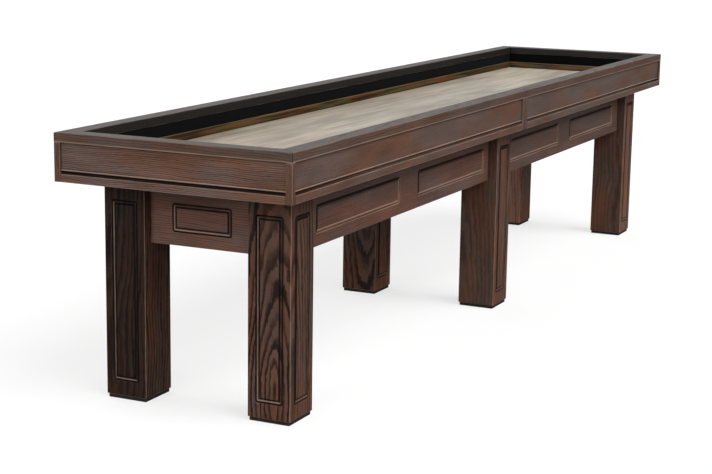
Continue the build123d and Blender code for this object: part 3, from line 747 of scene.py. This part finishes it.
def round_the_well(low, high, side_width, end_width, ways=((1, 1), (1, -1))):
    """Two long strips along a rectangle's sides, or four half ones, and a strip between them at each end."""
    inner = high.y - side_width
    start = -high.x if len(ways) == 2 else 0
    return mirrored(((start, inner, low.z), (high.x, high.y, high.z)), ways=ways) + mirrored(
        ((high.x - end_width, -inner, low.z), (high.x, inner, high.z)), ways=((1, 1), (-1, 1)))


BEARER_WIDTH, MEMBER_THICKNESS, MEMBER_PLACES = 38 * MM, 38 * MM, (0.25, 0.75, 1.25)
low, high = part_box("playfield_bearers")
boards("playfield_bearers", "timber_bearers",
       mirrored(((low.x, high.y - BEARER_WIDTH, low.z), high), ways=((1, 1), (1, -1))),
       timber.material, "frame_timber", 1.5 * MM, 300)
low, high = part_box("cross_members")
boards("cross_members", "timber_cross_members",
       mirrored(*[((place - MEMBER_THICKNESS / 2, low.y, low.z), (place + MEMBER_THICKNESS / 2, high.y, high.z))
                  for place in MEMBER_PLACES], ways=((1, 1), (-1, 1))),
       timber.material, "frame_timber", 1.5 * MM, 310)
low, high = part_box("joint_members")
boards("joint_members", "timber_joint_members", mirrored(((0, low.y, low.z), high), ways=((1, 1), (-1, 1))),
       timber.material, "frame_timber", 1.5 * MM, 320)
boards("gutter_floors", "timber_gutter_floors",
       round_the_well(*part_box("gutter_floors"), 186 * MM, 294 * MM, ways=((1, 1), (-1, 1), (1, -1), (-1, -1))),
       timber.material, "gutter_board", 1 * MM, 330)


# Cabinet rails: oak boards moulded with a sunk field, a bead and a groove over a plain bottom strip.
# Each side rail is in two halves that meet at the middle, and all are let in behind square posts.

rail_oak = stained_oak(
    "rail_oak_walnut_stain", light=(0.150, 0.100, 0.084), warm=(0.170, 0.080, 0.050),
    dark=(0.030, 0.014, 0.010), worn_and_highlit=(0.40, 0.27, 0.20), ring=0.0056, waviness=0.011, depth_of_stain=0.75, wander=0.5)
HALF_LENGTH, HALF_WIDTH = cad_box[1][0], cad_box[1][1]
RAIL_BOTTOM, RAIL_TOP, POST, BACKING, RAIL_THICKNESS = 677 * MM, 793 * MM, 20 * MM, 10 * MM, 45 * MM
# The moulding's section: depth from the outer face and height in millimetres, with the wear and painted highlight,
# and the glaze and painted shade. The glaze darkens the groove, and the field just under the cap where its shadow
# falls.
STRIP_SECTION = (
    (10, 677, 0, 0.3), (3, 677, 0.2, 0), (1.3, 677.15, 0.9, 0), (0.35, 677.9, 1, 0),
    (0, 679.3, 0.7, 0), (0, 680.5, 0, 0), (0, 684, 0, 0), (0, 697, 0, 0),
    (0, 699.3, 0.1, 0), (0.35, 700.5, 0.8, 0), (1.2, 701, 0.8, 0.2),
)
FIELD_SECTION = (
    (3, 701.3, 0, 0.7), (6.5, 701.6, 0, 1), (9.4, 702.6, 0, 1), (9.5, 706.4, 0, 1),
    (8.2, 707.7, 0, 1), (7.1, 708.2, 0.1, 1), (6.9, 709.6, 0, 0.8), (6.4, 710.1, 0.1, 0.5),
    (5.2, 710.7, 0.6, 0), (4.6, 711.6, 1, 0), (4.5, 712.5, 1, 0), (4.7, 713.6, 1, 0),
    (5.4, 714.5, 0.6, 0.1), (6.6, 715.1, 0.1, 0.6), (7, 716, 0, 0.6), (7, 718, 0, 0.1),
    (7, 722, 0, 0), (7, 783, 0, 0), (7, 790.5, 0, 0.1), (7, 793, 0, 0.8),
    (10, 793, 0, 1),
)


def swept(work, section, spot, stations, board_of):
    """A moulding run along its length. spot turns a distance, depth and height into a point, and each
    station is a distance with the share of the glaze and painted shade there and the shade of the seam."""
    loops = []
    for distance, share, shade in stations:
        loops.append([work.point(spot(distance, d * MM, h * MM), wear, min(1, glaze * share + shade))
                      for d, h, wear, glaze in section])
    for one, other in zip(loops, loops[1:]):
        for i in range(len(section)):
            j = (i + 1) % len(section)
            work.face((one[i], one[j], other[j], other[i]), board_of(i))
    work.face(loops[0], board_of(0))
    work.face(loops[-1], board_of(0))


def backing(work, plan):
    """The plain board behind a moulding, on its plan."""
    lower = [work.point((x, y, RAIL_BOTTOM), 0.1) for x, y in plan]
    upper = [work.point((x, y, RAIL_TOP), 0.1) for x, y in plan]
    work.band(lower, upper)
    work.face(lower)
    work.face(upper)


def rail(node, spot, stations, plan, along, across, outward, seed, stain):
    """One length of rail: its moulding, and the board behind it."""
    work = Workpiece()
    section = STRIP_SECTION + FIELD_SECTION
    swept(work, section, spot, stations, lambda i: 1 if i < len(STRIP_SECTION) else 0)
    backing(work, plan)
    low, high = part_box(node)
    grains = [Board((low + high) / 2, along, across, outward, seed + k,
                    (0.003, 0.010), (0.02, 0.05), (0.08, 0.13), stain) for k in (0, 1)]
    fit(work.made("oak_" + node, rail_oak, grains), "table", [node], "rail_oak")


JOINT = 23.5 * MM
# The right halves of the side rails are greyer with a painted sheen.
for number, (side, half) in enumerate(HALVES):
    sx, sy = (-1 if half == "left" else 1), (-1 if side == "front" else 1)
    plan = [(HALF_LENGTH - POST, HALF_WIDTH - BACKING), (0, HALF_WIDTH - BACKING), (0, HALF_WIDTH - RAIL_THICKNESS),
            (HALF_LENGTH - RAIL_THICKNESS, HALF_WIDTH - RAIL_THICKNESS), (HALF_LENGTH - POST, HALF_WIDTH - POST)]
    # The glaze and painted shade in the grooves is full by the corner post and weaker along the rest of the rail.
    rail(f"side_rail_{side}_{half}",
         lambda run, depth, height: (sx * run, sy * (HALF_WIDTH - depth), height),
         ((JOINT, 0.6, 0.6), (JOINT + 3 * MM, 0.6, 0),
          (HALF_LENGTH - 0.6, 0.45, 0), (HALF_LENGTH - 0.12, 0.85, 0),
          (HALF_LENGTH - POST - 3 * MM, 1, 0), (HALF_LENGTH - POST, 1, 0.7)),
         [(sx * x, sy * y) for x, y in plan], ALONG, UP, INWARD * sy, 400 + 2 * number,
         (0.95, 0.45, 0) if sx < 0 else (1.1, 0.45, 0.3))
for number, half in enumerate(("left", "right")):
    sx = 2 * number - 1
    plan = [(HALF_LENGTH - BACKING, POST - HALF_WIDTH), (HALF_LENGTH - POST, POST - HALF_WIDTH),
            (HALF_LENGTH - RAIL_THICKNESS, RAIL_THICKNESS - HALF_WIDTH),
            (HALF_LENGTH - RAIL_THICKNESS, HALF_WIDTH - RAIL_THICKNESS),
            (HALF_LENGTH - POST, HALF_WIDTH - POST), (HALF_LENGTH - BACKING, HALF_WIDTH - POST)]
    rail(f"end_rail_{half}", lambda run, depth, height: (sx * (HALF_LENGTH - depth), run, height),
         ((POST - HALF_WIDTH, 1, 0.7), (POST + 3 * MM - HALF_WIDTH, 1, 0),
          (HALF_WIDTH - POST - 3 * MM, 1, 0), (HALF_WIDTH - POST, 1, 0.7)),
         [(sx * x, y) for x, y in plan], INWARD, UP, ALONG * sx, 420 + 2 * number, (1.2, 1, 0.05))

boards("corner_posts", "oak_corner_posts",
       mirrored(((HALF_LENGTH - POST, HALF_WIDTH - POST, RAIL_BOTTOM), (HALF_LENGTH, HALF_WIDTH, RAIL_TOP))),
       rail_oak, "rail_oak", 1.2 * MM, 440, (0, 0.01), (0.03, 0.05), stain=(0.9, 0.6, 0.2))
boards("joint_stiles", "oak_joint_stiles",
       mirrored(((JOINT - POST, HALF_WIDTH - BACKING, RAIL_BOTTOM), (JOINT, HALF_WIDTH, RAIL_TOP))),
       rail_oak, "rail_oak", 0.9 * MM, 450, (0, 0.01), (0.03, 0.05), stain=(0.9, 0.6, 0.2))


# Caps: flat oak boards on top of the rails, mitred at the corners and butted at the middle. Their
# arrises are rubbed round.

cap_oak = stained_oak(
    "cap_oak_walnut_stain", light=(0.135, 0.090, 0.074), warm=(0.155, 0.080, 0.054),
    dark=(0.026, 0.013, 0.009), worn_and_highlit=(0.36, 0.26, 0.20), ring=0.0056, waviness=0.008, depth_of_stain=0.6, wander=0.5)
# The wear values lighten the arrises, partly as wear and partly as painted highlight; the outer face's bottom arris is
# lightest.
CAP_SECTION = (
    (2.2, 793, 0.4, 0), (0.7, 793.3, 1, 0), (0, 794.4, 1, 0), (0, 796.4, 1, 0),
    (0, 798, 0, 0),
    (0, 817, 0, 0), (0, 819.7, 0.1, 0), (0.3, 820.9, 0.5, 0), (1.1, 821.7, 0.5, 0),
    (2.3, 822, 0.2, 0), (5.5, 822, 0, 0), (52.5, 822, 0, 0), (55.7, 822, 0.1, 0),
    (56.9, 821.7, 0.4, 0), (57.7, 820.9, 0.4, 0), (58, 819.7, 0.1, 0), (58, 817, 0, 0),
    (58, 796.6, 0, 0), (58, 794.2, 0.5, 0), (57.4, 793, 0.3, 0.2),
)


OUTER_FACE_POINTS, TOP_FACE_POINTS = 8, 14


def cap(node, place, ends, along, across, seed):
    """A cap board, brown on its outer face and nearly black on top and inside: a grey painted sheen on top,
    and painted shade inside. ends gives, for each station, where it stops, which way it slants, and how far
    the seam's shade goes."""
    work = Workpiece()
    swept(work, CAP_SECTION, lambda at, depth, height: place(at[0] + at[1] * depth, depth, height),
          [((stop, slant), 1, shade) for stop, slant, shade in ends],
          lambda i: (i >= OUTER_FACE_POINTS) + (i >= TOP_FACE_POINTS))
    low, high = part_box(node)
    # The top board's grey is a painted sheen. The inner board's low tone and grey are painted shade.
    grains = [Board((low + high) / 2, along, across, UP, seed, (0.01, 0.02), (0.03, 0.06), stain=stain)
              for stain in ((0.88, 0.8, 0), (0.85, 1, 0.75), (0.24, 1, 0.85))]
    fit(work.made("oak_" + node, cap_oak, grains), "table", [node], "cap_oak")


SEAM, SEAM_SHADE = 0.35 * MM, 1.6 * MM
for number, (side, half) in enumerate(HALVES):
    sx, sy = (-1 if half == "left" else 1), (-1 if side == "front" else 1)
    ends = ((SEAM, 0, 1), (SEAM + SEAM_SHADE, 0, 0), (6 * MM, 0, 0), (HALF_LENGTH - 8 * MM, -1, 0),
            (HALF_LENGTH - SEAM - SEAM_SHADE, -1, 0), (HALF_LENGTH - SEAM, -1, 1))
    cap(f"side_cap_{side}_{half}", lambda run, depth, height: (sx * run, sy * (HALF_WIDTH - depth), height),
        ends, ALONG, INWARD, 500 + number)
for number, half in enumerate(("left", "right")):
    sx = 2 * number - 1
    ends = ((SEAM - HALF_WIDTH, 1, 1), (SEAM + SEAM_SHADE - HALF_WIDTH, 1, 0), (8 * MM - HALF_WIDTH, 1, 0),
            (HALF_WIDTH - 8 * MM, -1, 0), (HALF_WIDTH - SEAM - SEAM_SHADE, -1, 0), (HALF_WIDTH - SEAM, -1, 1))
    cap(f"end_cap_{half}", lambda run, depth, height: (sx * (HALF_LENGTH - depth), run, height),
        ends, INWARD, ALONG, 510 + number)


# Gutter: black carpet on its floor, oak ledges along the foot of the walls, and black felt glued to
# the walls above them.

carpet = Finish("black_needled_carpet", Specular_IOR_Level=0.15, Sheen_Weight=0.25, Sheen_Roughness=0.6)
x, y, z = carpet.place("object")
tuft = carpet.noise(x * 700, y * 700, z * 700, detail=3)
track = carpet.noise(x * 5, y * 40, z * 40)
worn_pile = (tuft * 0.8 + track * 0.4).limited()
carpet.set("Base Color", carpet.mix(worn_pile, (0.005, 0.005, 0.005), (0.028, 0.027, 0.026)))
carpet.set("Roughness", 0.9 + tuft * 0.08)
carpet.bump(tuft, 0.0012, 0.8)

felt = Finish("black_wall_felt", Specular_IOR_Level=0.05, Sheen_Weight=0.02, Sheen_Roughness=0.5)
x, y, z = felt.place("object")
nap = felt.noise(x * 420, y * 420, z * 420, detail=3)
brushed = felt.noise(x * 3, y * 3, z * 30)
raised = (nap * 0.6 + brushed * 0.5).limited()
felt.set("Base Color", felt.mix(raised, (0.0008, 0.0008, 0.0009), (0.0042, 0.0042, 0.0046)))
felt.set("Roughness", 0.88 + nap * 0.1)
felt.bump(nap, 0.0005, 0.6)

ledge_oak = Finish("olive_brown_ledge_oak", Specular_IOR_Level=0.35)
run, side, deep = ledge_oak.place("grain")
streak = ledge_oak.noise(run * 3.4, side * 90, deep * 90, detail=3)
height = ledge_oak.place("object")[2]
lit = ledge_oak.ramp((height - 0.695) / 0.058, (0, 0.05), (0.45, 0.2), (0.7, 0.95), (1, 1))
patch = ledge_oak.noise(run * 3.6, 3, detail=3, roughness=0.6)
fine = ledge_oak.noise(run * 40, side * 600, deep * 600)
brown = ledge_oak.mix(ledge_oak.ramp(patch, (0.40, 0), (0.58, 1)), (0.105, 0.090, 0.028), (0.160, 0.058, 0.014))
brown = ledge_oak.mix(ledge_oak.ramp(streak, (0.42, 0), (0.62, 0.9)), brown, (0.018, 0.008, 0.003))
# Its edges are lightened, partly as wear and partly as painted highlight along the lit top edge.
brown = ledge_oak.mix(ledge_oak.stored("wear") * 0.5, brown, (0.16, 0.135, 0.062))
ledge_oak.set("Base Color", ledge_oak.shade(brown, (0.7 + fine * 0.4) * lit))
ledge_oak.set("Roughness", 0.45 + fine * 0.15)
ledge_oak.bump(fine + streak, 0.0003, 0.4)

boards("gutter_carpets", "carpet_gutter_strips", round_the_well(*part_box("gutter_carpets"), 96 * MM, 238.5 * MM),
       carpet.material, "gutter_carpet", 1.2 * MM, 600)
boards("gutter_ledges", "oak_gutter_ledges", round_the_well(*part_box("gutter_ledges"), 15 * MM, 15 * MM),
       ledge_oak.material, "ledge_oak", 2.2 * MM, 610)
for wall in ("front", "rear", "left", "right"):
    boards("wall_liner_" + wall, "felt_liner_" + wall, [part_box("wall_liner_" + wall)],
           felt.material, "wall_felt", 2.5 * MM, 620)


# Playfield: maple strips glued side by side, planed flat and coated clear. It lies on the bearers
# with the gutter all round it.

maple = Finish("laminated_maple", Coat_Weight=0.25, Coat_Roughness=0.22, Specular_IOR_Level=0.4)
x, y, z = maple.place("object")
STRIPS = 24
STRIP_WIDTH = 508 * MM / STRIPS
lane = (y / STRIP_WIDTH + STRIPS / 2).whole()
lane_tone = maple.add("TexWhiteNoise", {"noise_dimensions": "1D"}, {"W": lane + 0.5}, "Value")
piece_number = ((x + lane_tone * 3.1) * 1.15).whole()
piece_tone = maple.add(
    "TexWhiteNoise", {"noise_dimensions": "1D"}, {"W": piece_number + lane * 17 + 0.3}, "Value")
smoke = maple.noise(x * 2.2 + lane_tone * 0.6, y * 8, detail=3, roughness=0.55)
haze = maple.noise(x * 1.1, y * 3.2, 4, detail=2)
streak = maple.noise(x * 3 + piece_tone * 40, y * 62, z * 62, detail=4, roughness=0.6)
curl = maple.noise(x * 16, y * 30, z * 30)
pale = maple.mix(piece_tone, (0.292, 0.244, 0.168), (0.415, 0.364, 0.268))
pale = maple.mix(maple.ramp(haze, (0.40, 0), (0.60, 0.8)), pale, (0.350, 0.268, 0.186))
pale = maple.mix(maple.ramp(smoke, (0.42, 0), (0.68, 0.80)), pale, (0.140, 0.106, 0.068))
pale = maple.mix(maple.ramp(streak, (0.48, 0), (0.78, 1)) * 0.6, pale, (0.15, 0.115, 0.075))
seam = maple.ramp((y / STRIP_WIDTH + STRIPS / 2).remainder(), (0, 0.6), (0.02, 0), (0.98, 0), (1, 0.6))
pale = maple.mix(seam * 0.35, pale, (0.12, 0.09, 0.06))
# Its edges are lightened, partly as wear and partly as painted highlight.
pale = maple.mix(maple.stored("wear") * 0.45, pale, (0.62, 0.58, 0.50))
# It grows lighter towards both ends, a painted reflection of the sky in the clear coat.
maple.set("Base Color", maple.shade(pale, 0.86 + curl * 0.2 + x * x * 0.15))
maple.set("Roughness", 0.34 + streak * 0.14)
maple.bump(streak, 0.0001, 0.25)
low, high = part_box("playfield")
work = Workpiece()
rounded_block(work, low, high, 1.5 * MM)
fit(work.made("maple_playfield", maple.material), "table", ["playfield"], "maple")


# Climatic adjusters: under the playfield, two steel angles joined by a turnbuckle on two threaded
# rods. Drawing them together takes a bow out of the boards.

powder = Finish("black_powder_coat", Specular_IOR_Level=0.45)
x, y, z = powder.place("object")
peel = powder.noise(x * 520, y * 520, z * 520)
dust = powder.noise(x * 40, y * 40, z * 40, detail=3)
powder.set("Base Color", powder.mix(dust * 0.5, (0.014, 0.014, 0.015), (0.045, 0.043, 0.041)))
powder.set("Roughness", 0.42 + dust * 0.2)
powder.bump(peel, 0.0003, 0.5)
coat("adjuster_brackets", powder)

ROD_END, BRACKET_FACE, ROD_PITCH = 18, 95, 1.5
ROD_TURNS = int((BRACKET_FACE - ROD_END) / ROD_PITCH)
rod = [(4, ROD_END, 0, 0)] + thread(4.25, 4.95, ROD_END, ROD_PITCH, ROD_TURNS, (0.2, 0.4, 0.85, 1.05)) + [
    (4.9, 95, 0, 0), (8.7, 95, 17, 0.3), (9.7, 95.6, 17, 1), (9.7, 100.6, 17, 1),
    (8.6, 101.4, 17, 0.4)]
BARREL = [
    (5.05, -42, 0, 0.2), (10.6, -42, 22, 0.4), (12.5, -41, 22, 1), (12.5, -36, 22, 0.4),
    (12.5, 36, 22, 0.4), (12.5, 41, 22, 1), (10.6, 42, 22, 0.4), (5.05, 42, 0, 0.2),
]
work = Workpiece()
for number in range(1, 5):
    low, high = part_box(f"turnbuckle_{number}")
    centre = (low + high) / 2
    for way in (-1, 1):
        turned(work, rod, centre, INWARD * way, 24)
    barrel = Workpiece()
    turned(barrel, BARREL, centre, INWARD, bored=True)
    fit(barrel.made(f"steel_turnbuckle_{number}", zinc.material), f"turnbuckle_{number}",
        [f"turnbuckle_{number}"], "zinc_steel")
fit(work.made("steel_adjuster_rods", zinc.material), "table", ["adjuster_rods"], "zinc_steel")


# Fixings: bolts with washers in the gutter floor over each leg, two more through the joint timbers,
# and pan-head screws up through the adjusters' brackets. They are plated steel, driven by hand.

def driven(name, shape, places, metal, seed, lay=(0, 0, 0)):
    """One mesh of a fixing at every place, each turned by chance about its own length."""
    work = Workpiece()
    turned(work, shape, Vector((0, 0, 0)), sides=36)
    pattern = work.made(name + "_pattern", metal)
    spots = bpy.data.meshes.new(name)
    spots.from_pydata(places, [], [])
    piece = bpy.data.objects.new(name, spots)
    bpy.context.scene.collection.objects.link(piece)

    tree = bpy.data.node_groups.new(name + "_driven", "GeometryNodeTree")
    inputs = {}
    for label, kind in (("Places", "Geometry"), ("Fixing", "Object"), ("Finish", "Material"),
                        ("Lay", "Vector"), ("Turn seed", "Int")):
        inputs[label] = tree.interface.new_socket(label, in_out="INPUT", socket_type="NodeSocket" + kind).identifier
    tree.interface.new_socket("Fixings", in_out="OUTPUT", socket_type="NodeSocketGeometry")
    start, end = tree.nodes.new("NodeGroupInput"), tree.nodes.new("NodeGroupOutput")
    source = tree.nodes.new("GeometryNodeObjectInfo")
    chance = tree.nodes.new("FunctionNodeRandomValue")
    chance.data_type = "FLOAT"
    spin = tree.nodes.new("ShaderNodeCombineXYZ")
    spun, laid = tree.nodes.new("FunctionNodeEulerToRotation"), tree.nodes.new("FunctionNodeEulerToRotation")
    turn = tree.nodes.new("FunctionNodeRotateRotation")
    turn.rotation_space = "GLOBAL"
    copies = tree.nodes.new("GeometryNodeInstanceOnPoints")
    real = tree.nodes.new("GeometryNodeRealizeInstances")
    finish = tree.nodes.new("GeometryNodeSetMaterial")
    points = tree.nodes.new("GeometryNodeMeshToPoints")
    chance.inputs[3].default_value = math.tau
    for source_socket, target in (
        (start.outputs["Places"], points.inputs["Mesh"]), (points.outputs[0], copies.inputs["Points"]),
        (start.outputs["Fixing"], source.inputs["Object"]), (source.outputs["Geometry"], copies.inputs["Instance"]),
        (start.outputs["Turn seed"], chance.inputs["Seed"]), (chance.outputs[1], spin.inputs["Z"]),
        (spin.outputs[0], spun.inputs[0]), (start.outputs["Lay"], laid.inputs[0]),
        (spun.outputs[0], turn.inputs[0]), (laid.outputs[0], turn.inputs[1]),
        (turn.outputs[0], copies.inputs["Rotation"]), (copies.outputs[0], real.inputs[0]),
        (real.outputs[0], finish.inputs["Geometry"]), (start.outputs["Finish"], finish.inputs["Material"]),
        (finish.outputs[0], end.inputs[0]),
    ):
        tree.links.new(source_socket, target)
    sowing = piece.modifiers.new("driven", "NODES")
    sowing.node_group = tree
    for label, value in (("Fixing", pattern), ("Finish", metal), ("Lay", lay), ("Turn seed", seed)):
        sowing[inputs[label]] = value
    solid = bpy.data.meshes.new_from_object(piece.evaluated_get(bpy.context.evaluated_depsgraph_get()))
    solid.name = name
    piece.modifiers.remove(sowing)
    piece.data = solid
    bpy.data.objects.remove(pattern)
    return piece


BOLT_SEAT, BOLT_OFFSET, JOINT_BOLT_Y, JOINT_BOLT_Z = 687 * MM, 45 * MM, 110 * MM, 632.5 * MM
LEG_BOLT = [
    (4.2, -64, 0, 0.3), (5, -63.2, 0, 0), (5, 0, 0, 0), (10.7, 0, 0, 0.3), (11, 0.3, 0, 1),
    (11, 1.2, 0, 1), (10.7, 1.5, 0, 0.3), (9.2, 1.5, 16, 0.3), (9.2, 6.7, 16, 1), (8.4, 7.5, 16, 0.5),
    (7.4, 7.5, 0, 0.3),
]
JOINT_BOLT = [
    (7.4, -45.5, 0, 0.3), (8.4, -45.5, 16, 0.5), (9.2, -44.7, 16, 1), (9.2, -39.5, 16, 0.3),
    (10.7, -39.5, 0, 0.3), (11, -39.2, 0, 1), (11, -38.3, 0, 1), (10.7, -38, 0, 0.3), (5, -38, 0, 0),
    (5, 38, 0, 0), (10.7, 38, 0, 0.3), (11, 38.3, 0, 1), (11, 39.2, 0, 1), (10.7, 39.5, 0, 0.3),
    (9.2, 39.5, 16, 0.3), (9.2, 46.7, 16, 1), (8.4, 47.5, 16, 0.5), (5.4, 47.5, 0, 0.3), (5.2, 46.6, 0, 0),
    (4.9, 46.6, 0, 0), (4.6, 47.3, 0, 0.8),
]
SCREW = [
    (1.8, -1.2, 3, 0), (1.8, -2.8, 3, 0.4), (3.4, -2.8, 0, 0.6), (4.3, -2.3, 0, 1), (4.8, -1.3, 0, 1),
    (4.8, 0, 0, 0.3), (2.5, 0, 0, 0), (2.5, 20, 0, 0), (0.6, 22, 0, 0),
]
ADJUSTER_PLACES, SCREW_X, SCREW_Y = (-1, -0.5, 0.5, 1), 15 * MM, 72 * MM
leg_middles = [(low + high) / 2 for low, high in (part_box("leg_" + leg) for leg in LEGS)]
bolt_places = [(m.x + dx, m.y + dy, BOLT_SEAT) for m in leg_middles
               for dx in (-BOLT_OFFSET, BOLT_OFFSET) for dy in (-BOLT_OFFSET, BOLT_OFFSET)]
screw_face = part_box("playfield")[0].z - 5 * MM
screw_places = [(place + dx, sy * SCREW_Y, screw_face) for place in ADJUSTER_PLACES
                for dx in (-SCREW_X, SCREW_X) for sy in (-1, 1)]
fit(driven("steel_leg_bolts", LEG_BOLT, bolt_places, zinc.material, 11), "table", ["leg_bolts"], "zinc_steel")
joint_places = [(0, sy * JOINT_BOLT_Y, JOINT_BOLT_Z) for sy in (-1, 1)]
fit(driven("steel_joint_bolts", JOINT_BOLT, joint_places, zinc.material, 12, (0, math.pi / 2, 0)),
    "table", ["joint_bolts"], "zinc_steel")
fit(driven("steel_bracket_screws", SCREW, screw_places, zinc.material, 13), "table", ["bracket_screws"], "zinc_steel")
